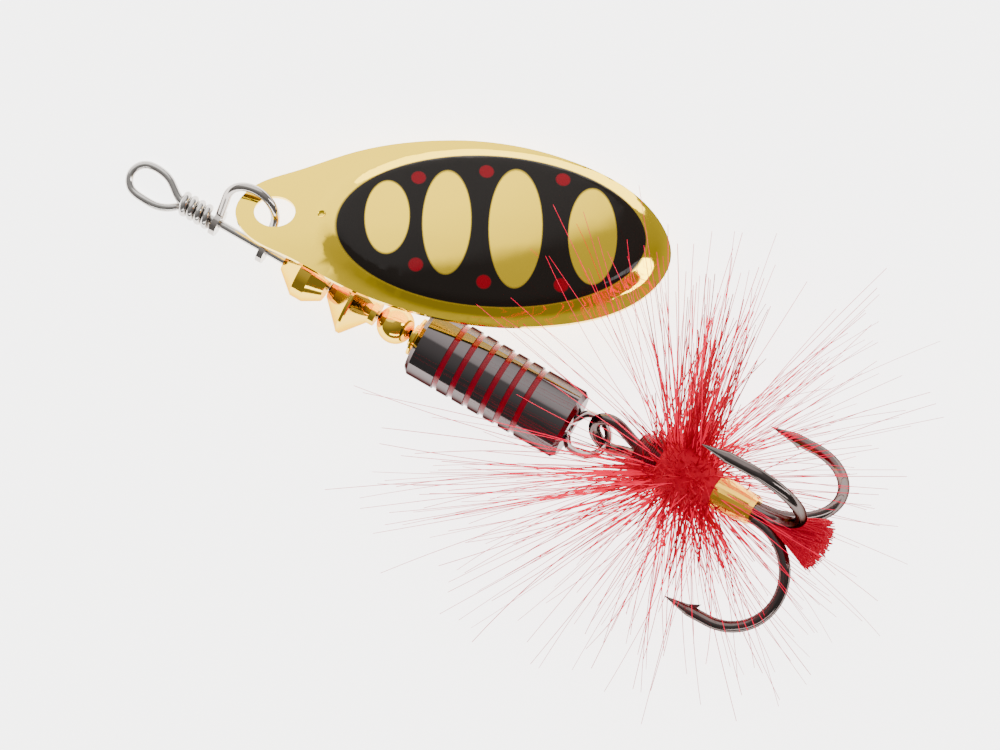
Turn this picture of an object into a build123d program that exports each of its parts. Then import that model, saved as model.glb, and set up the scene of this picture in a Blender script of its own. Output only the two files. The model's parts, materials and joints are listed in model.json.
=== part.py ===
"""Inline spinner lure: wire shaft, clevis, blade, beads, grooved weight and dressed treble hook.

Millimetres. The pieces are built round a straight shaft along +X (x = 0 at the tip of the line
eye, +Z up). At the end the whole lure is tilted into its lying pose on the plane z = 0.
"""
import math
import os

from build123d import *

# ---- driving dimensions -------------------------------------------------------------------
WIRE_R = 0.32                 # stainless shaft wire
WIRE_GAP = 0.03               # air between neighbouring runs of the same wire
BORE_R = WIRE_R + 0.06        # running bore of every bead on the wire

EYE_HALF_WIDTH = 1.3          # line eye, to the centre line of the wire
WRAP_TURNS = 4
WRAP_START = 4.95
WRAP_PITCH = 0.66

LOOP_R = 1.72                 # rear loop, to the centre line
LOOP_CENTRE = 41.6
LOOP_ROLL = -24               # about the shaft
TAIL_END = 37.6               # the wire's tail is tucked into the weight
WIRE_EXIT = 40.0              # where the wire starts to open into the loop
TAIL_BORE_R = 1.25            # pocket in the weight for the wire and its tail

CLEVIS_WIRE_R = 0.35
CLEVIS_FRONT = 8.2            # the two ears
CLEVIS_REAR = 12.5
CLEVIS_LEG = 3.0              # straight leg above the shaft axis
CLEVIS_ROLL = 45              # about the shaft, from +Y towards +Z
EAR_R = 1.1
EAR_T = 0.5

BLADE_LENGTH = 34.0
BLADE_HALF_WIDTH = 7.45
BLADE_T = 0.45
HOLE_LENGTH = 3.2
HOLE_WIDTH = 2.5
HOLE_X = 3.05                 # hole centre from the narrow tip
DIMPLE_X = 6.6                # small punch mark on the outer face
DIMPLE_R = 0.3
DIMPLE_DEPTH = 0.12
CROWN_LONG_R = 75.0           # blade curvature along and across
CROWN_CROSS_R = 30.0
OVAL_X = 19.9                 # raised oval
OVAL_Y = 0.05
OVAL_TURN = 4                 # its long axis is not quite along the blade
OVAL_HALF_LENGTH = 12.6
OVAL_HALF_WIDTH = 6.3
OVAL_RISE = 0.6
OVAL_STEP = 1.3               # width of the rounded step round the oval
BLADE_YAW = 23.9              # away from the shaft, seen from above
BLADE_DROP = 7.3              # the wide end is lower than the tip, measured from the shaft
BLADE_LEAN = 14.5             # the outer edge is lower
HANG_ANGLE = 30               # where on the clevis arc the blade hangs

BEARING_FRONT = 14.4          # the four beads, front to rear
BEARING_LENGTH = 3.9
BEARING_R = 2.1
DISC_FRONT = 18.6
DISC_LENGTH = 4.2
DISC_R = 2.8
DISC_RIM_X = 20.7             # where the disc is widest
BALL_X = 24.4
BALL_R = 1.5
COLLAR_FRONT = 25.95
COLLAR_R = 1.55

BODY_FRONT = 26.7
BODY_REAR = 40.3
BODY_R = 2.9
BODY_CHAMFER = 0.35
GROOVES = (2.8, 4.2, 5.6, 7.0, 8.35, 9.75)   # centres, from the front face
GROOVE_W = 0.48
GROOVE_DEPTH = 0.4
ENAMEL_RECESS = 0.14

HOOK_WIRE_R = 0.465
SHANK_OFFSET = 0.55           # shank centre line from the treble's axis
HOOK_REACH = 9.4              # treble axis to the spear
HOOK_EYE_R = 1.53             # to the centre line
HOOK_EYE_ROLL = 50            # about the treble's axis
HOOK_EYE_X = 43.2             # centre of the eye, before the treble is placed
SHANK_START = 46.3
SHANK_END = 56.3              # where the bends start
SPEAR_LENGTH = 1.7            # straight part before the tapered point
POINT_LENGTH = 2.2
BARB_BACK = 0.75              # how far behind the point's base the barb's root lies
BARB_THICKNESS = 0.24
ANGLE_A = 194.0               # hook planes, from +Y towards +Z
ANGLE_B = 74.0
ANGLE_C = 314.0

THREAD_START = 45.7           # the dressing on the shanks, front to rear
HACKLE_START = 47.9
TINSEL_START = 52.8
TINSEL_END = 56.2
TUFT_START = 56.3
TUFT_END = 62.7
THREAD_R = 1.65
HACKLE_R = 2.45
TINSEL_R = 1.32
TUFT_R = 2.05

SHAFT_TILT = 6.8              # the hook end is raised
TREBLE_TILT = 10.5            # further rise of the treble
TREBLE_YAW = 1.8
LINK_DISTANCE = 1.93          # rear loop centre to the centre of the treble's eye
LINK_ANGLE = 29               # direction of that line, from the shaft towards +Y
LINK_LIFT = 0.19
LINK_HINGE_ANGLE = 23         # where on the rear loop the treble swings


def polar(x, radius, angle):
    """A point at an angle about the shaft axis, measured from +Y towards +Z."""
    a = math.radians(angle)
    return Vector(x, radius * math.cos(a), radius * math.sin(a))


def round_wire(path, radius):
    """A round wire swept along a path."""
    start = Plane(origin=path @ 0, z_dir=path % 0)
    return sweep(start * Circle(radius), path=path)


def turned(*profile):
    """A solid of revolution about the shaft from (x, radius) corners."""
    outline = Polyline(*[(x, r, 0) for x, r in profile], close=True)
    return revolve(make_face(outline), axis=Axis.X)


def bar(x_from, x_to, radius, offset=0.0, angle=0.0):
    """A cylinder parallel to the shaft."""
    start = Plane(origin=polar(x_from, offset, angle), z_dir=(1, 0, 0))
    return extrude(start * Circle(radius), amount=x_to - x_from)


def one_solid(shape):
    """The largest solid of a shape."""
    return max(shape.solids(), key=lambda s: s.volume)


# ---- shaft wire ---------------------------------------------------------------------------
def make_shaft_wire():
    wrap_r = 2 * WIRE_R + WIRE_GAP
    coil = Helix(pitch=WRAP_PITCH, height=WRAP_PITCH * WRAP_TURNS, radius=wrap_r)
    wraps = Pos(WRAP_START, 0, 0) * Rot(0, 90, 0) * coil
    w = EYE_HALF_WIDTH
    eye = [
        wraps @ 0,
        Vector(4.45, -0.72, -0.5),
        Vector(3.4, -0.96 * w, -0.15),
        Vector(2.1, -w, 0),
        Vector(0.85, -0.78 * w, 0),
        Vector(WIRE_R, 0, 0),
        Vector(0.85, 0.78 * w, 0),
        Vector(2.1, w, 0),
        Vector(3.3, 0.78 * w, 0),
        Vector(4.3, 0.25 * w, 0),
        Vector(5.2, 0, 0),
    ]
    front = Spline(*eye, tangents=[-(wraps % 0), (1, 0, 0)], tangent_scalars=(1, 1))

    # The rear loop leaves the weight, goes once round and its tail returns into the weight.
    rear = [(WIRE_EXIT - 1.2, 0), (WIRE_EXIT - 0.45, 0.06), (WIRE_EXIT + 0.22, 0.63)]
    for angle in range(120, -121, -30):
        a = math.radians(angle)
        rear.append((LOOP_CENTRE + LOOP_R * math.cos(a), LOOP_R * math.sin(a)))
    rear += [(WIRE_EXIT + 0.4, -1.0), (WIRE_EXIT - 0.25, -0.72), (WIRE_EXIT - 0.9, -wrap_r)]
    rear_points = [polar(x, side, LOOP_ROLL) for x, side in rear]
    loop = Spline(*rear_points, tangents=[(1, 0, 0), (-1, 0, 0)], tangent_scalars=(1, 1))
    shaft = Line(front @ 1, loop @ 0)
    tail = Line(loop @ 1, polar(TAIL_END, -wrap_r, LOOP_ROLL))
    wire = round_wire(wraps, WIRE_R)
    for run in (front, shaft, loop, tail):
        wire = wire + round_wire(run, WIRE_R)
    return one_solid(wire)


# ---- clevis -------------------------------------------------------------------------------
def arc_point(angle):
    """A point of the clevis centre line, angle measured up from the rear leg."""
    middle = (CLEVIS_FRONT + CLEVIS_REAR) / 2
    bow_r = (CLEVIS_REAR - CLEVIS_FRONT) / 2
    a = math.radians(angle)
    return polar(middle + bow_r * math.cos(a), CLEVIS_LEG + bow_r * math.sin(a), CLEVIS_ROLL)


def make_clevis():
    foot = 0.75
    front_leg = Line(polar(CLEVIS_FRONT, foot, CLEVIS_ROLL), arc_point(180))
    bow = ThreePointArc(arc_point(180), arc_point(90), arc_point(0))
    rear_leg = Line(arc_point(0), polar(CLEVIS_REAR, foot, CLEVIS_ROLL))
    stirrup = round_wire(front_leg, CLEVIS_WIRE_R)
    stirrup = stirrup + round_wire(bow, CLEVIS_WIRE_R) + round_wire(rear_leg, CLEVIS_WIRE_R)
    for x in (CLEVIS_FRONT, CLEVIS_REAR):
        stirrup = stirrup + bar(x - EAR_T / 2, x + EAR_T / 2, EAR_R)
    stirrup = stirrup - bar(CLEVIS_FRONT - 1, CLEVIS_REAR + 1, BORE_R)
    return one_solid(stirrup)


# ---- blade --------------------------------------------------------------------------------
def blade_height(x, y):
    """Height of the blade's outer face: a shallow crown with a raised oval."""
    crown = -(x - BLADE_LENGTH / 2) ** 2 / (2 * CROWN_LONG_R) - y ** 2 / (2 * CROWN_CROSS_R)
    a = math.radians(OVAL_TURN)
    along = (x - OVAL_X) * math.cos(a) + (y - OVAL_Y) * math.sin(a)
    across = (y - OVAL_Y) * math.cos(a) - (x - OVAL_X) * math.sin(a)
    reach = math.hypot(along / OVAL_HALF_LENGTH, across / OVAL_HALF_WIDTH)
    outside = (reach - 1) * OVAL_HALF_WIDTH / OVAL_STEP + 0.5
    blend = min(max(outside, 0), 1)
    return crown + OVAL_RISE * (1 - blend * blend * (3 - 2 * blend))


def blade_outline():
    """Half outline from the narrow tip to the wide end, mirrored."""
    w = BLADE_HALF_WIDTH
    side = [(1.3, 0.28 * w), (4.0, 0.45 * w), (8.5, 0.72 * w), (14.0, 0.93 * w),
            (20.0, w), (26.0, 0.89 * w), (30.5, 0.65 * w), (33.0, 0.35 * w)]
    upper = Spline((0, 0), *side, (BLADE_LENGTH, 0), tangents=[(0, 1), (0, -1)],
                   tangent_scalars=(1, 1))
    return make_face(upper + mirror(upper, about=Plane.XZ))


def make_flat_blade():
    """The blade in its own frame: tip at the origin, +X to the wide end, +Z outwards."""
    step = 0.5
    margin = 1                                    # the sheet is larger than the outline
    half_width = 8
    rows = []
    for i in range(int((BLADE_LENGTH + 2 * margin) / step) + 1):
        x = -margin + i * step
        across = [-half_width + j * step for j in range(int(2 * half_width / step) + 1)]
        rows.append([Vector(x, y, blade_height(x, y)) for y in across])
    skin = Face.make_surface_from_array_of_points(rows, tol=0.005)
    sheet = extrude(skin, amount=BLADE_T, dir=(0, 0, -1))
    outline = extrude(Plane.XY.offset(-10) * blade_outline(), amount=20)
    hole = Pos(HOLE_X, 0, -10) * extrude(Ellipse(HOLE_LENGTH / 2, HOLE_WIDTH / 2), amount=20)
    ball_r = (DIMPLE_R ** 2 + DIMPLE_DEPTH ** 2) / (2 * DIMPLE_DEPTH)
    dimple = Pos(DIMPLE_X, 0, blade_height(DIMPLE_X, 0) - DIMPLE_DEPTH + ball_r) * Sphere(ball_r)
    return one_solid((sheet & outline) - hole - dimple)


def blade_frame():
    """Where the flat blade's own frame sits, with its hole round the clevis wire."""
    turn = Rot(0, 0, BLADE_YAW) * Rot(0, BLADE_DROP, 0) * Rot(-BLADE_LEAN, 0, 0)
    hole = Vector(HOLE_X, 0, blade_height(HOLE_X, 0) - BLADE_T / 2)
    at = arc_point(HANG_ANGLE) - (turn * Pos(hole)).position
    return Pos(at) * turn


def make_blade():
    return blade_frame() * make_flat_blade()


# ---- beads --------------------------------------------------------------------------------
def make_front_bearing():
    """A cone that opens to a short cylinder and tapers again."""
    x = BEARING_FRONT
    rear = x + BEARING_LENGTH
    return turned((x, BORE_R), (x, 0.75), (x + 1.6, BEARING_R), (x + 2.6, BEARING_R),
                  (rear, 1.35), (rear, BORE_R))


def make_disc_bead():
    """Two cones that meet at a thin rim, with a short neck behind."""
    x = DISC_FRONT
    rear = x + DISC_LENGTH
    flat, bevel = 0.12, 0.1
    return turned((x, BORE_R), (x, 0.8), (DISC_RIM_X - flat - bevel, DISC_R - bevel),
                  (DISC_RIM_X - flat, DISC_R), (DISC_RIM_X + flat, DISC_R),
                  (DISC_RIM_X + flat + bevel, DISC_R - bevel),
                  (rear - 0.5, 1.0), (rear, 1.0), (rear, BORE_R))


def make_ball_bead():
    return Pos(BALL_X, 0, 0) * Sphere(BALL_R) - bar(BALL_X - 2, BALL_X + 2, BORE_R)


def make_spacer_collar():
    """A thin flange between two short necks."""
    x = COLLAR_FRONT
    return turned((x, BORE_R), (x, 0.9), (x + 0.25, 0.9), (x + 0.25, COLLAR_R),
                  (x + 0.45, COLLAR_R), (x + 0.45, 1.1), (x + 0.65, 1.1), (x + 0.65, BORE_R))


# ---- weight -------------------------------------------------------------------------------
def ring(centre, r_in, r_out, width):
    return bar(centre - width / 2, centre + width / 2, r_out) - bar(centre - width, centre + width, r_in)


def make_weight():
    c = BODY_CHAMFER
    body = turned((BODY_FRONT, 0), (BODY_FRONT, BODY_R - c), (BODY_FRONT + c, BODY_R),
                  (BODY_REAR - c, BODY_R), (BODY_REAR, BODY_R - c), (BODY_REAR, 0))
    body = body - bar(BODY_FRONT - 1, BODY_REAR + 1, BORE_R)
    body = body - bar(TAIL_END - 0.4, BODY_REAR + 1, TAIL_BORE_R)
    floor_r = BODY_R - GROOVE_DEPTH
    for centre in GROOVES:
        body = body - ring(BODY_FRONT + centre, floor_r, BODY_R + 1, GROOVE_W)
    return one_solid(body)


def make_groove_ring(centre):
    return ring(BODY_FRONT + centre, BODY_R - GROOVE_DEPTH, BODY_R - ENAMEL_RECESS, GROOVE_W)


# ---- treble hook --------------------------------------------------------------------------
def make_hook(angle):
    """One hook from the front of its shank to the barbed point."""
    bend_r = (HOOK_REACH - SHANK_OFFSET) / 2
    spear_x = SHANK_END - SPEAR_LENGTH
    shank = Line(polar(SHANK_START, SHANK_OFFSET, angle), polar(SHANK_END, SHANK_OFFSET, angle))
    bend = ThreePointArc(polar(SHANK_END, SHANK_OFFSET, angle),
                         polar(SHANK_END + bend_r, SHANK_OFFSET + bend_r, angle),
                         polar(SHANK_END, HOOK_REACH, angle))
    spear = Line(polar(SHANK_END, HOOK_REACH, angle), polar(spear_x, HOOK_REACH, angle))
    hook = round_wire(shank, HOOK_WIRE_R) + round_wire(bend, HOOK_WIRE_R)
    hook = hook + round_wire(spear, HOOK_WIRE_R)
    base = Plane(origin=polar(spear_x, HOOK_REACH, angle), z_dir=(-1, 0, 0))
    tip = Plane(origin=polar(spear_x - POINT_LENGTH, HOOK_REACH - 0.1, angle), z_dir=(-1, 0, 0))
    hook = hook + loft([base * Circle(HOOK_WIRE_R), tip * Circle(0.03)])
    inner = HOOK_REACH - HOOK_WIRE_R
    barb = make_face(Polyline((spear_x - 0.9, inner + 0.35, 0), (spear_x + BARB_BACK, inner - 0.4, 0),
                              (spear_x + 0.5, inner + 0.2, 0), close=True))
    barb = extrude(barb, amount=BARB_THICKNESS / 2, both=True)
    return hook + Rot(angle, 0, 0) * barb


def make_double_hook():
    side_b = polar(SHANK_START, SHANK_OFFSET, ANGLE_B)
    side_a = polar(SHANK_START, SHANK_OFFSET, ANGLE_A)
    ring_points = []
    for angle in range(125, -126, -25):
        a = math.radians(angle)
        x = HOOK_EYE_X - HOOK_EYE_R * math.cos(a)
        ring_points.append(polar(x, HOOK_EYE_R * math.sin(a), HOOK_EYE_ROLL))
    eye = Spline(*([side_b] + ring_points + [side_a]), tangents=[(-1, 0, 0), (1, 0, 0)],
                 tangent_scalars=(1, 1))
    return one_solid(round_wire(eye, HOOK_WIRE_R) + make_hook(ANGLE_A) + make_hook(ANGLE_B))


def shank_space(x_from, x_to):
    """Everything the three shanks take up, to cut out of a winding."""
    space = bar(x_from, x_to, SHANK_OFFSET)
    for angle in (ANGLE_A, ANGLE_B, ANGLE_C):
        space = space + bar(x_from, x_to, HOOK_WIRE_R, SHANK_OFFSET, angle)
    return space


def make_thread_wrap():
    """The winding that tapers over the closed end of the treble's eye."""
    x = THREAD_START
    spool = turned((x, 0), (x, 1.25), (x + 0.6, 1.5), (x + 1.8, THREAD_R),
                   (HACKLE_START, THREAD_R), (HACKLE_START, 0))
    return one_solid(spool - shank_space(x - 0.7, HACKLE_START + 1.1) - make_double_hook())


def make_hackle():
    """The dense middle of the feather collar."""
    x = HACKLE_START
    core = turned((x, 0), (x, 1.6), (x + 0.6, 2.2), (x + 1.9, HACKLE_R), (x + 3.3, 2.0),
                  (TINSEL_START, 1.3), (TINSEL_START, 0))
    return one_solid(core - shank_space(x - 0.9, TINSEL_START + 1.2))


def make_tinsel_wrap():
    x = TINSEL_START
    sleeve = turned((x, 0), (x, TINSEL_R), (x + 1.4, 1.28), (TINSEL_END, 1.12), (TINSEL_END, 0))
    return one_solid(sleeve - shank_space(x - 0.8, TINSEL_END + 0.8))


def make_tail_tuft():
    """A tuft that widens to its cut end."""
    x = TUFT_START
    tuft = turned((x, 0), (x, 0.5), (x + 1.7, 0.95), (x + 3.7, 1.7), (x + 5.5, TUFT_R),
                  (TUFT_END - 0.2, 1.6), (TUFT_END, 0))
    for angle in (ANGLE_A, ANGLE_B, ANGLE_C):
        tuft = tuft - make_hook(angle)
    return one_solid(tuft)


def treble_pose():
    """Places the treble with its eye linked through the rear loop."""
    a = math.radians(LINK_ANGLE)
    eye = Vector(LOOP_CENTRE + LINK_DISTANCE * math.cos(a), LINK_DISTANCE * math.sin(a), LINK_LIFT)
    return Pos(eye) * Rot(0, 0, TREBLE_YAW) * Rot(0, -TREBLE_TILT, 0) * Pos(-HOOK_EYE_X, 0, 0)


def link_hinge():
    """Point and direction of the treble's swing: along the wire of the rear loop."""
    a = math.radians(LINK_HINGE_ANGLE)
    point = polar(LOOP_CENTRE + LOOP_R * math.cos(a), LOOP_R * math.sin(a), LOOP_ROLL)
    return point, polar(-math.sin(a), math.cos(a), LOOP_ROLL)


# ---- the lure -----------------------------------------------------------------------------
def build_all():
    nodes = {
        "shaft_wire": make_shaft_wire(),
        "clevis": make_clevis(),
        "blade": make_blade(),
        "front_bearing": make_front_bearing(),
        "disc_bead": make_disc_bead(),
        "ball_bead": make_ball_bead(),
        "spacer_collar": make_spacer_collar(),
        "weight_body": make_weight(),
    }
    for number, centre in enumerate(GROOVES, start=1):
        nodes[f"groove_ring_{number}"] = make_groove_ring(centre)
    treble = {
        "double_hook": make_double_hook(),
        "third_hook": make_hook(ANGLE_C),
        "thread_wrap": make_thread_wrap(),
        "hackle": make_hackle(),
        "tinsel_wrap": make_tinsel_wrap(),
        "tail_tuft": make_tail_tuft(),
    }
    for name, shape in treble.items():
        nodes[name] = treble_pose() * shape
    return nodes


def lying_pose(nodes):
    """Tilt about the eye, then put the bottom centre of the bounding box at the origin."""
    tilt = Rot(0, -SHAFT_TILT, 0)
    box = Compound([one_solid(tilt * shape) for shape in nodes.values()]).bounding_box()
    centre = box.center()
    return Pos(-centre.X, -centre.Y, -box.min.Z) * tilt


NODES = build_all()
POSE = lying_pose(NODES)

if __name__ == "__main__":
    os.makedirs("parts", exist_ok=True)
    for node, shape in NODES.items():
        export_step(one_solid(POSE * shape), f"parts/{node}.step")
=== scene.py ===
"""Visual model of the inline spinner: materials, feather fibres, windings, camera and light."""

import json
import math
import random

import bpy
from mathutils import Matrix, Vector
from mathutils.bvhtree import BVHTree


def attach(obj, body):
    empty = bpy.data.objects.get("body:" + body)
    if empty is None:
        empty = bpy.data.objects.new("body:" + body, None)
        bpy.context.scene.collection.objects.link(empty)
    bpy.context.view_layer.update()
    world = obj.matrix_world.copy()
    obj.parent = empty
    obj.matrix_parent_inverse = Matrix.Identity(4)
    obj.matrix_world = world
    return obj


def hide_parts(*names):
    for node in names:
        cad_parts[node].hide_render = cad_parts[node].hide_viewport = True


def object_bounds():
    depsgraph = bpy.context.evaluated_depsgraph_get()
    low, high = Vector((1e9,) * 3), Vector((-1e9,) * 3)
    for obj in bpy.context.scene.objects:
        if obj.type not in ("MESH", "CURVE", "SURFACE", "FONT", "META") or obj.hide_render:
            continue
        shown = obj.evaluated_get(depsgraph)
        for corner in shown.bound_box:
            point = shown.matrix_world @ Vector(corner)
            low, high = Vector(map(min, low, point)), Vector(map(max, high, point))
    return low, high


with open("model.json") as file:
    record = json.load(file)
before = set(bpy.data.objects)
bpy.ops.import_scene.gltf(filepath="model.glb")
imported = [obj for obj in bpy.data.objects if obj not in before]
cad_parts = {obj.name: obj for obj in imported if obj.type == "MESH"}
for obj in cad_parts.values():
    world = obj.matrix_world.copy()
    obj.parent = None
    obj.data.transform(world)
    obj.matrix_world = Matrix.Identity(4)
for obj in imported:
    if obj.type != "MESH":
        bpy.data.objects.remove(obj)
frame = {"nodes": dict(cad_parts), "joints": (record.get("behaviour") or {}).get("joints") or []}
CAD_LOW, CAD_HIGH = [list(corner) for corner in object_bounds()]
MM = 0.001
random.seed(11)

# ---- where things are, from the shaft's own frame ------------------------------------------
SHAFT_TILT = math.radians(6.8)
EYE_TIP = Vector((-30.927, -4.974, 0.400)) * MM
TREBLE_TILT = math.radians(10.5)
TREBLE_YAW = math.radians(1.8)
TREBLE_EYE = Vector((43.288, 0.936, 0.19)) * MM
TREBLE_EYE_X = 43.2 * MM
BLADE_YAW = math.radians(23.9)
BLADE_DROP = math.radians(7.3)
BLADE_LEAN = math.radians(14.5)
BLADE_HOLE = Vector((3.05, 0, -1.522)) * MM

SHAFT = Matrix.Translation(EYE_TIP) @ Matrix.Rotation(-SHAFT_TILT, 4, "Y")
TREBLE = SHAFT @ Matrix.Translation(TREBLE_EYE) @ Matrix.Rotation(TREBLE_YAW, 4, "Z")
TREBLE = TREBLE @ Matrix.Rotation(-TREBLE_TILT, 4, "Y") @ Matrix.Translation((-TREBLE_EYE_X, 0, 0))


def blade_matrix():
    """The blade's own frame: tip at the origin, +X to the wide end, +Z outwards."""
    hinge = [j for j in frame["joints"] if j["name"] == "blade_swing"][0]
    turn = Matrix.Rotation(-SHAFT_TILT, 4, "Y") @ Matrix.Rotation(BLADE_YAW, 4, "Z")
    turn = turn @ Matrix.Rotation(BLADE_DROP, 4, "Y") @ Matrix.Rotation(-BLADE_LEAN, 4, "X")
    return Matrix.Translation(Vector(hinge["pos_m"]) - turn @ BLADE_HOLE) @ turn


VIEW_TURN = math.radians(29.9)      # the camera's right, from +X towards +Y


def in_picture(right, up, height):
    """A direction given as the camera sees it."""
    return Matrix.Rotation(VIEW_TURN, 3, "Z") @ Vector((right, up, height))


# ---- shader helpers -------------------------------------------------------------------------
def new_material(name, color, metallic, roughness):
    mat = bpy.data.materials.new(name)
    mat.use_nodes = True
    shader = mat.node_tree.nodes["Principled BSDF"]
    shader.inputs["Base Color"].default_value = (*color, 1)
    shader.inputs["Metallic"].default_value = metallic
    shader.inputs["Roughness"].default_value = roughness
    return mat, shader


def object_coords(mat):
    return mat.node_tree.nodes.new("ShaderNodeTexCoord").outputs["Object"]


def math_node(mat, kind, a, b=None):
    node = mat.node_tree.nodes.new("ShaderNodeMath")
    node.operation = kind
    for index, value in enumerate((a, b)):
        if value is None:
            continue
        if isinstance(value, (int, float)):
            node.inputs[index].default_value = value
        else:
            mat.node_tree.links.new(value, node.inputs[index])
    return node.outputs[0]


def noise(mat, coords, scale, detail=3.0):
    node = mat.node_tree.nodes.new("ShaderNodeTexNoise")
    node.inputs["Scale"].default_value = scale
    node.inputs["Detail"].default_value = detail
    mat.node_tree.links.new(coords, node.inputs["Vector"])
    return node.outputs["Fac"]


def spread(mat, value, low, high):
    """Maps 0..1 to low..high."""
    node = mat.node_tree.nodes.new("ShaderNodeMapRange")
    node.inputs["To Min"].default_value = low
    node.inputs["To Max"].default_value = high
    mat.node_tree.links.new(value, node.inputs["Value"])
    return node.outputs["Result"]


def add_bump(mat, shader, height, strength, distance):
    bump = mat.node_tree.nodes.new("ShaderNodeBump")
    bump.inputs["Strength"].default_value = strength
    bump.inputs["Distance"].default_value = distance
    mat.node_tree.links.new(height, bump.inputs["Height"])
    mat.node_tree.links.new(bump.outputs["Normal"], shader.inputs["Normal"])


def mix_color(mat, mask, color_a, color_b):
    node = mat.node_tree.nodes.new("ShaderNodeMix")
    node.data_type = "RGBA"
    mat.node_tree.links.new(mask, node.inputs["Factor"])
    for socket, color in ((node.inputs[6], color_a), (node.inputs[7], color_b)):
        if isinstance(color, tuple):
            socket.default_value = (*color, 1)
        else:
            mat.node_tree.links.new(color, socket)
    return node.outputs[2]


def metal(name, color, roughness, ripple=0.05, edge=(1, 1, 1)):
    """Polished metal with slight smears in its gloss, faint ripples and an edge tint."""
    mat, shader = new_material(name, color, 1.0, roughness)
    shader.inputs["Specular Tint"].default_value = (*edge, 1)
    coords = object_coords(mat)
    smear = noise(mat, coords, 900, 4)
    mat.node_tree.links.new(spread(mat, smear, roughness * 0.6, roughness * 1.6), shader.inputs["Roughness"])
    add_bump(mat, shader, noise(mat, coords, 260, 2), ripple, 0.0002)
    return mat


def paint(name, color, roughness):
    """Enamel or varnish with a thin coat and a slightly uneven surface."""
    mat, shader = new_material(name, color, 0.0, roughness)
    coords = object_coords(mat)
    shader.inputs["Specular IOR Level"].default_value = 0.15
    shader.inputs["Coat Weight"].default_value = 0.12
    shader.inputs["Coat Roughness"].default_value = 0.06
    add_bump(mat, shader, noise(mat, coords, 500, 3), 0.08, 0.0002)
    return mat


def fibre_material(name, color, dark, painted_glow):
    mat, shader = new_material(name, color, 0.0, 0.6)
    coords = object_coords(mat)
    mask = spread(mat, noise(mat, coords, 420, 2), 0.0, 1.0)
    mat.node_tree.links.new(mix_color(mat, mask, dark, color), shader.inputs["Base Color"])
    shader.inputs["Specular IOR Level"].default_value = 0.08
    # Painted glow: the fibres give off their own red light, which stands in for the table's light shining
    # through them.
    shader.inputs["Emission Color"].default_value = (*color, 1)
    shader.inputs["Emission Strength"].default_value = painted_glow
    return mat


# ---- blade finish ---------------------------------------------------------------------------
def ellipse_mask(mat, x, y, centre, half, edge=0.06):
    """1 inside the ellipse, 0 outside, with a soft edge. Millimetres."""
    dx = math_node(mat, "DIVIDE", math_node(mat, "SUBTRACT", x, centre[0]), half[0])
    dy = math_node(mat, "DIVIDE", math_node(mat, "SUBTRACT", y, centre[1]), half[1])
    sum_sq = math_node(mat, "ADD", math_node(mat, "MULTIPLY", dx, dx), math_node(mat, "MULTIPLY", dy, dy))
    reach = math_node(mat, "SQRT", sum_sq)
    node = mat.node_tree.nodes.new("ShaderNodeMapRange")
    node.inputs["From Min"].default_value = 1 + edge / min(half)
    node.inputs["From Max"].default_value = 1 - edge / min(half)
    mat.node_tree.links.new(reach, node.inputs["Value"])
    return node.outputs["Result"]


GOLD = (0.96, 0.66, 0.030)
LACQUER = (0.010, 0.007, 0.005)
DOT_RED = (0.22, 0.0, 0.006)
# The painted pattern, millimetres from the middle of the oval and along its own axis.
PATTERN_CENTRE = (19.9, 0.05)
PATTERN_TURN = math.radians(4)
OVAL = ((0.0, -0.08), (12.1, 6.15))
WINDOWS = (((-8.13, 0.54), (1.72, 2.95)), ((-3.52, 0.32), (1.88, 4.18)),
           ((1.81, 0.12), (2.07, 4.78)), ((7.81, -0.09), (1.88, 3.87)))
DOTS = ((-5.8, 3.84), (-0.55, 4.62), (5.42, 4.37), (-5.8, -3.24), (-0.52, -4.38), (5.47, -4.27))
DOT_HALF = (0.56, 0.53)
LACQUER_SPECULAR = 0.14


def blade_coords(mat):
    """Object coordinates turned into the painted pattern's own x and y, in millimetres."""
    shift = Matrix.Translation((*PATTERN_CENTRE, 0)) @ Matrix.Rotation(PATTERN_TURN, 4, "Z")
    place = blade_matrix() @ Matrix.Scale(MM, 4) @ shift
    mapping = mat.node_tree.nodes.new("ShaderNodeMapping")
    mapping.vector_type = "TEXTURE"
    mapping.inputs["Location"].default_value = place.translation
    mapping.inputs["Rotation"].default_value = place.to_euler("XYZ")
    mapping.inputs["Scale"].default_value = (MM, MM, MM)
    mat.node_tree.links.new(object_coords(mat), mapping.inputs["Vector"])
    split = mat.node_tree.nodes.new("ShaderNodeSeparateXYZ")
    mat.node_tree.links.new(mapping.outputs["Vector"], split.inputs["Vector"])
    return split.outputs["X"], split.outputs["Y"]


def outer_face(mat):
    """1 on the blade's outer face, 0 on its edge and back."""
    side = mat.node_tree.nodes.new("ShaderNodeVectorMath")
    side.operation = "DOT_PRODUCT"
    texture = mat.node_tree.nodes.new("ShaderNodeTexCoord")
    mat.node_tree.links.new(texture.outputs["Normal"], side.inputs[0])
    side.inputs[1].default_value = blade_matrix().to_3x3() @ Vector((0, 0, 1))
    return math_node(mat, "GREATER_THAN", side.outputs["Value"], 0.2)


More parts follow.
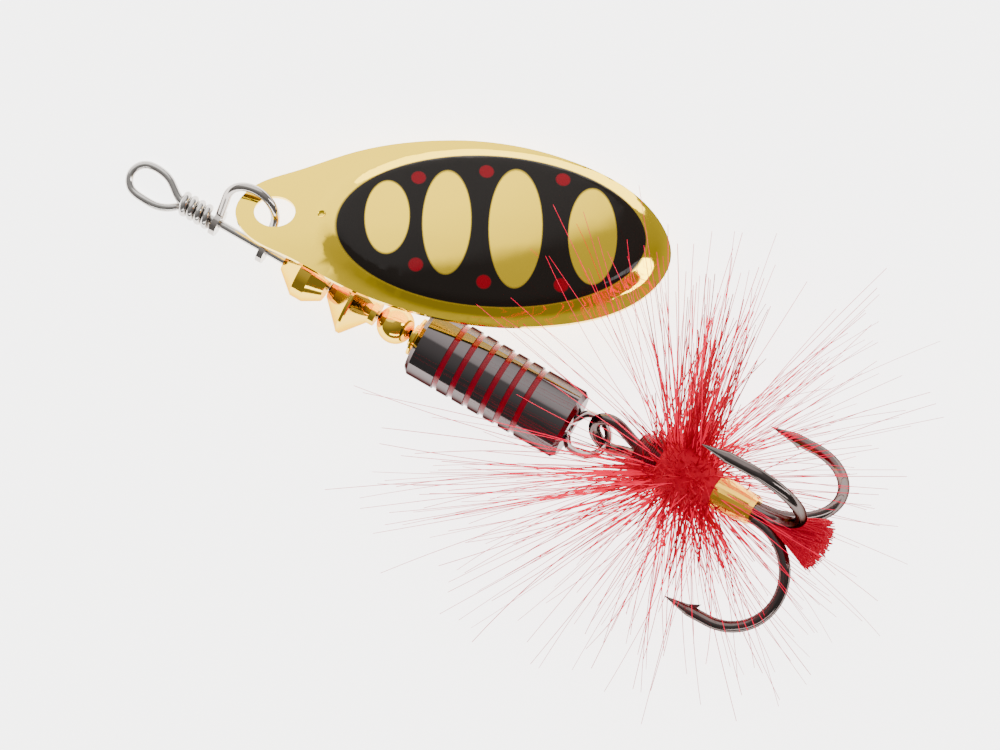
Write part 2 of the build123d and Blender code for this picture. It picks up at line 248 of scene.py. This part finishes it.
def blade_material():
    mat = metal("blade_gold", GOLD, 0.06, 0.03)
    shader = mat.node_tree.nodes["Principled BSDF"]
    x, y = blade_coords(mat)
    outer = outer_face(mat)
    lacquer = ellipse_mask(mat, x, y, *OVAL)
    for centre, half in WINDOWS:
        hole = ellipse_mask(mat, x, y, centre, half)
        lacquer = math_node(mat, "MULTIPLY", lacquer, math_node(mat, "SUBTRACT", 1.0, hole))
    lacquer = math_node(mat, "MULTIPLY", lacquer, outer)
    dots = None
    for centre in DOTS:
        dot = ellipse_mask(mat, x, y, centre, DOT_HALF)
        dots = dot if dots is None else math_node(mat, "MAXIMUM", dots, dot)
    dots = math_node(mat, "MULTIPLY", dots, outer)
    painted = mix_color(mat, lacquer, GOLD, LACQUER)
    painted = mix_color(mat, dots, painted, DOT_RED)
    mat.node_tree.links.new(painted, shader.inputs["Base Color"])
    paint_mask = math_node(mat, "MAXIMUM", lacquer, dots)
    mat.node_tree.links.new(math_node(mat, "SUBTRACT", 1.0, paint_mask), shader.inputs["Metallic"])
    gloss = spread(mat, paint_mask, 0.5, LACQUER_SPECULAR)
    mat.node_tree.links.new(gloss, shader.inputs["Specular IOR Level"])
    return mat


# ---- geometry helpers -----------------------------------------------------------------------
def polar(x, radius, angle):
    """A point about the treble's axis, millimetres and degrees, in the row frame."""
    a = math.radians(angle)
    return TREBLE @ (Vector((x, radius * math.cos(a), radius * math.sin(a))) * MM)


def strands(name, lines, radii, mat, body, sides=4, taper=0.65):
    """Many thin strands as one mesh of narrow tubes. lines: point lists; radii: mm per line."""
    verts, faces = [], []
    for points, radius in zip(lines, radii):
        last = len(points) - 1
        first_vertex = len(verts)
        for i, point in enumerate(points):
            along = (points[min(i + 1, last)] - points[max(i - 1, 0)]).normalized()
            side = along.cross(Vector((0.31, 0.52, 0.79))).normalized()
            up = along.cross(side)
            r = radius * MM * (1 - taper * i / last)
            for k in range(sides):
                turn = 2 * math.pi * k / sides
                verts.append(point + side * (r * math.cos(turn)) + up * (r * math.sin(turn)))
        for i in range(last):
            low = first_vertex + i * sides
            for k in range(sides):
                nxt = (k + 1) % sides
                faces.append((low + k, low + nxt, low + sides + nxt, low + sides + k))
        faces.append(tuple(range(first_vertex + sides - 1, first_vertex - 1, -1)))
        end = first_vertex + last * sides
        faces.append(tuple(range(end, end + sides)))
    mesh = bpy.data.meshes.new(name)
    mesh.from_pydata([tuple(v) for v in verts], [], faces)
    mesh.materials.append(mat)
    mesh.shade_smooth()
    obj = bpy.data.objects.new(name, mesh)
    bpy.context.scene.collection.objects.link(obj)
    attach(obj, body)
    return obj


SOFT_MARGIN = 10.5 * MM
FIBRE_LOW = Vector(CAD_LOW) - Vector((SOFT_MARGIN, SOFT_MARGIN, 0))
FIBRE_HIGH = Vector(CAD_HIGH) + Vector((SOFT_MARGIN, SOFT_MARGIN, 0.8 * SOFT_MARGIN))
TABLE_CLEARANCE = 0.12 * MM
CORE_X = 49.9                        # middle of the collar, and how far the roots spread along it
CORE_SPREAD = 0.9
ROOT_RADIUS = 1.1
FIBRE_STEPS = 12


def solid_tree(name):
    """A search tree of one CAD piece, in world coordinates."""
    node = frame["nodes"][name]
    verts = [node.matrix_world @ v.co for v in node.data.vertices]
    return BVHTree.FromPolygons(verts, [tuple(p.vertices) for p in node.data.polygons])


OBSTACLES = [solid_tree(name) for name in ("blade", "weight_body")]
OBSTACLE_GAP = 0.3 * MM


def blocked(start, end):
    """True where a fibre would run into the blade or the weight."""
    step = end - start
    reach = step.length + OBSTACLE_GAP
    return any(tree.ray_cast(start, step.normalized(), reach)[0] for tree in OBSTACLES)


def inside_soft_box(point):
    return (FIBRE_LOW.x < point.x < FIBRE_HIGH.x and FIBRE_LOW.y < point.y < FIBRE_HIGH.y
            and point.z < FIBRE_HIGH.z)


def hackle_fibre(length, heading, rise, curl):
    """One feather fibre from the core. Heading: degrees in the camera's picture, 0 is right."""
    a, b = math.radians(heading), math.radians(rise)
    direction = in_picture(math.cos(a) * math.cos(b), math.sin(a) * math.cos(b), math.sin(b))
    seat = polar(CORE_X + random.gauss(0, CORE_SPREAD), 0, 0)
    origin = seat + direction * (ROOT_RADIUS * MM)
    bend = Vector((random.gauss(0, 1), random.gauss(0, 1), random.gauss(-0.3, 0.5))) * curl
    points = []
    for i in range(FIBRE_STEPS + 1):
        t = i / FIBRE_STEPS
        point = origin + (direction * t + bend * (t * t)) * (length * MM)
        point.z = max(point.z, TABLE_CLEARANCE)
        if not inside_soft_box(point) or (points and blocked(points[-1], point)):
            break
        points.append(point)
    return points


# Bundles of fibres: count, heading, its spread, rise range, length range, thickness range, curl.
LONG_FIBRES = (
    (54, None, 0, (-30, 50), (10, 22), (0.038, 0.050), 0.10),
    (46, 82, 9, (-5, 35), (11, 18), (0.045, 0.065), 0.05),
    (40, 36, 15, (-5, 30), (9, 20), (0.040, 0.055), 0.06),
    (14, 116, 12, (-5, 30), (12, 21), (0.036, 0.046), 0.06),
    (46, 180, 10, (-15, 15), (11, 25), (0.040, 0.058), 0.06),
    (34, 196, 13, (-20, 10), (9, 20), (0.045, 0.065), 0.10),
    (26, 228, 13, (-20, 10), (9, 18), (0.040, 0.058), 0.08),
    (48, 272, 18, (-20, 15), (7, 17), (0.045, 0.065), 0.12),
    (26, 305, 14, (-15, 20), (9, 18), (0.040, 0.055), 0.08),
    (26, 350, 16, (-10, 35), (8, 17), (0.038, 0.052), 0.06),
)
SHORT_FIBRES = (
    (100, 80, 9, (-10, 40), (5, 14), (0.055, 0.085), 0.06),
    (60, 275, 22, (-15, 20), (4, 8), (0.055, 0.085), 0.12),
    (50, 185, 16, (-15, 20), (4, 9), (0.055, 0.085), 0.10),
    (460, None, 0, (-60, 80), (1.4, 3.9), (0.07, 0.11), 0.25),
)


def make_feathers(name, bundles, mat):
    lines, radii = [], []
    for count, heading, fan, rises, lengths, thickness, curl in bundles:
        for _ in range(count):
            turn = random.uniform(0, 360) if heading is None else random.gauss(heading, fan)
            line = hackle_fibre(random.uniform(*lengths), turn, random.uniform(*rises), curl)
            if len(line) > 2:
                lines.append(line)
                radii.append(random.uniform(*thickness))
    obj = strands(name, lines, radii, mat, "treble", 3, 0.5)
    return obj


TAIL_START = 56.4
TAIL_END = 62.5
TAIL_SPREAD = 2.0
TAIL_FIBRES = 520


def make_tail(mat):
    """A bundle of yarn fibres that fans out to its cut end."""
    lines, radii = [], []
    steps = 6
    for _ in range(TAIL_FIBRES):
        around = random.uniform(0, 360)
        spread_to = TAIL_SPREAD * math.sqrt(random.random())
        end_x = TAIL_END - 0.35 * spread_to + random.gauss(0, 0.2)
        points = []
        for i in range(steps + 1):
            t = i / steps
            x = TAIL_START + (end_x - TAIL_START) * t
            radius = 0.15 + spread_to * t ** 1.3
            points.append(polar(x, radius, around + 12 * math.sin(3 * t + around)))
        lines.append(points)
        radii.append(random.uniform(0.06, 0.09))
    obj = strands("tail_fibres", lines, radii, mat, "treble", 4, 0.3)
    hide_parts("tail_tuft")
    return obj


THREAD_START = 45.75
THREAD_LENGTH = 2.1
THREAD_TURNS = 11
THREAD_R = 0.10


def make_thread(mat):
    """Turns of thread laid over the solid winding, which widens and then stays level."""
    points = []
    steps = 20
    for i in range(THREAD_TURNS * steps + 1):
        along = i / (THREAD_TURNS * steps)
        radius = 1.27 + 0.40 * min(1, 1.4 * along)
        points.append(polar(THREAD_START + THREAD_LENGTH * along, radius, 360 * i / steps))
    obj = strands("thread_turns", [points], [THREAD_R], mat, "treble", 6, 0)
    return obj


TINSEL_START = 52.8
TINSEL_END = 56.15
TINSEL_TURNS = 5
RIBBON_WIDTH = 0.85
RIBBON_THICKNESS = 0.03


def make_tinsel(mat):
    """A flat ribbon wound over itself: its front edge lies on the turn before."""
    verts, faces = [], []
    steps = 24
    for i in range(TINSEL_TURNS * steps + 1):
        turn = i / steps
        x = TINSEL_START + (TINSEL_END - TINSEL_START - RIBBON_WIDTH) * turn / TINSEL_TURNS
        for edge, lift in ((0, 0.06), (1, 0.015)):
            edge_x = x + RIBBON_WIDTH * edge
            radius = 1.34 - 0.06 * (edge_x - TINSEL_START) + lift
            verts.append(polar(edge_x, radius, 360 * turn))
        if i:
            a = 2 * i
            faces.append((a - 2, a - 1, a + 1, a))
    mesh = bpy.data.meshes.new("tinsel_ribbon")
    mesh.from_pydata([tuple(v) for v in verts], [], faces)
    obj = bpy.data.objects.new("tinsel_ribbon", mesh)
    bpy.context.scene.collection.objects.link(obj)
    mesh.materials.append(mat)
    solid = obj.modifiers.new("thickness", "SOLIDIFY")
    solid.thickness = RIBBON_THICKNESS * MM
    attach(obj, "treble")
    return obj


# ---- apply ----------------------------------------------------------------------------------
SHARP_ANGLE = math.radians(32)


def smooth(node):
    node.data.shade_smooth()
    node.data.set_sharp_from_angle(angle=SHARP_ANGLE)


DARK_EDGE = (0.25, 0.23, 0.23)
GOLD_EDGE = (0.75, 0.50, 0.15)
materials = {
    "shaft_wire": metal("stainless_wire", (0.50, 0.47, 0.44), 0.14),
    "clevis": metal("nickel_clevis", (0.42, 0.38, 0.35), 0.10),
    "blade": blade_material(),
    "weight_body": metal("black_nickel_weight", (0.115, 0.100, 0.100), 0.07, 0.03, DARK_EDGE),
    "double_hook": metal("black_nickel_hook", (0.105, 0.085, 0.080), 0.13, 0.05, DARK_EDGE),
}
materials["third_hook"] = materials["double_hook"]
bead_gold = metal("bead_gold", (0.84, 0.54, 0.050), 0.08, 0.05, GOLD_EDGE)
for bead in ("front_bearing", "disc_bead", "ball_bead", "spacer_collar"):
    materials[bead] = bead_gold
enamel = paint("red_enamel", (0.24, 0.0, 0.010), 0.18)
for number in range(1, 7):
    materials[f"groove_ring_{number}"] = enamel
materials["thread_wrap"] = paint("red_thread", (0.10, 0.0, 0.003), 0.30)
# The last number given to each fibre material is its painted glow: the feathers and the yarn emit red light
# of their own.
materials["hackle"] = fibre_material("red_feather", (0.58, 0.0, 0.022), (0.24, 0.0, 0.008), 0.22)
fine_feather = fibre_material("red_feather_fine", (0.80, 0.0, 0.050), (0.50, 0.0, 0.025), 0.9)
materials["tinsel_wrap"] = metal("gold_tinsel", (1.0, 0.55, 0.05), 0.14, 0.3)
materials["tail_tuft"] = fibre_material("red_yarn", (0.55, 0.0, 0.026), (0.30, 0.0, 0.010), 0.3)

for name, node in frame["nodes"].items():
    node.data.materials.clear()
    node.data.materials.append(materials[name])
    smooth(node)

make_feathers("hackle_fibres", SHORT_FIBRES, materials["hackle"])
make_feathers("hackle_long_fibres", LONG_FIBRES, fine_feather)
make_tail(materials["tail_tuft"])
make_thread(materials["thread_wrap"])
make_tinsel(materials["tinsel_wrap"])


# ---- stage ----------------------------------------------------------------------------------
FLOOR_GLOW = 4.2
SKY_TOWARDS = (-0.25, 0.85, 0.45)    # the middle of the bright part: right, up, height
# How bright the sky is: 0 is away from that middle, 1 is in it. The step gives the gold its edge.
SKY_STOPS = ((0.0, 0.22), (0.50, 0.25), (0.72, 0.50), (0.858, 0.62), (0.880, 1.9), (0.94, 2.5),
             (1.0, 2.7))
VIEW_CENTRE = Vector((2.27, -4.31, 0)) * MM
CAMERA_HEIGHT = 0.45
FOCUS_HEIGHT = 0.0045                # the frame's width is true at this height
FRAME_WIDTH = 0.0775
SENSOR_WIDTH = 36


def make_floor():
    """A white table that glows a little, like a light table under a product picture."""
    bpy.ops.mesh.primitive_plane_add(size=3.0, location=(0, 0, 0))
    floor = bpy.context.object
    floor.name = "floor"
    mat, shader = new_material("floor_white", (0.90, 0.885, 0.87), 0.0, 0.6)
    shader.inputs["Specular IOR Level"].default_value = 0.1
    shader.inputs["Emission Color"].default_value = (1.0, 0.99, 0.975, 1)
    shader.inputs["Emission Strength"].default_value = FLOOR_GLOW
    floor.data.materials.append(mat)


def make_world():
    """One wide soft light beyond the top of the picture, fading to grey all round."""
    world = bpy.data.worlds.new("studio")
    world.use_nodes = True
    tree = world.node_tree
    background = tree.nodes["Background"]
    coords = tree.nodes.new("ShaderNodeTexCoord")
    facing = tree.nodes.new("ShaderNodeVectorMath")
    facing.operation = "DOT_PRODUCT"
    facing.inputs[1].default_value = in_picture(*SKY_TOWARDS).normalized()
    tree.links.new(coords.outputs["Generated"], facing.inputs[0])
    place = tree.nodes.new("ShaderNodeMapRange")
    place.inputs["From Min"].default_value = -1
    tree.links.new(facing.outputs["Value"], place.inputs["Value"])
    ramp = tree.nodes.new("ShaderNodeValToRGB")
    tree.links.new(place.outputs["Result"], ramp.inputs["Fac"])
    stops = ramp.color_ramp.elements
    brightest = SKY_STOPS[-1][1]
    for index, (position, strength) in enumerate(SKY_STOPS):
        stop = stops[index] if index < 2 else stops.new(position)
        stop.position = position
        shade = strength / brightest
        stop.color = (shade, shade, shade, 1)
    tree.links.new(ramp.outputs["Color"], background.inputs["Color"])
    background.inputs["Strength"].default_value = brightest
    bpy.context.scene.world = world


def area_light(name, location, size, power):
    """A soft panel that faces the lure. Metres and watts."""
    data = bpy.data.lights.new(name, "AREA")
    data.shape = "RECTANGLE"
    data.size = size[0]
    data.size_y = size[1]
    data.energy = power
    light = bpy.data.objects.new(name, data)
    light.location = location
    light.rotation_euler = (-location).to_track_quat("-Z", "Y").to_euler()
    bpy.context.scene.collection.objects.link(light)


def make_camera():
    data = bpy.data.cameras.new("camera")
    data.sensor_width = SENSOR_WIDTH
    data.lens = SENSOR_WIDTH * (CAMERA_HEIGHT - FOCUS_HEIGHT) / FRAME_WIDTH
    data.clip_start = 0.01
    data.clip_end = 10
    camera = bpy.data.objects.new("camera", data)
    camera.location = VIEW_CENTRE + Vector((0, 0, CAMERA_HEIGHT))
    camera.rotation_euler = (0, 0, VIEW_TURN)
    bpy.context.scene.collection.objects.link(camera)
    bpy.context.scene.camera = camera


make_floor()
make_world()
area_light("right", VIEW_CENTRE + in_picture(0.62, 0.05, 0.40), (0.16, 0.6), 3.0)
area_light("low", VIEW_CENTRE + in_picture(-0.05, -0.62, 0.30), (0.7, 0.12), 2.0)
make_camera()
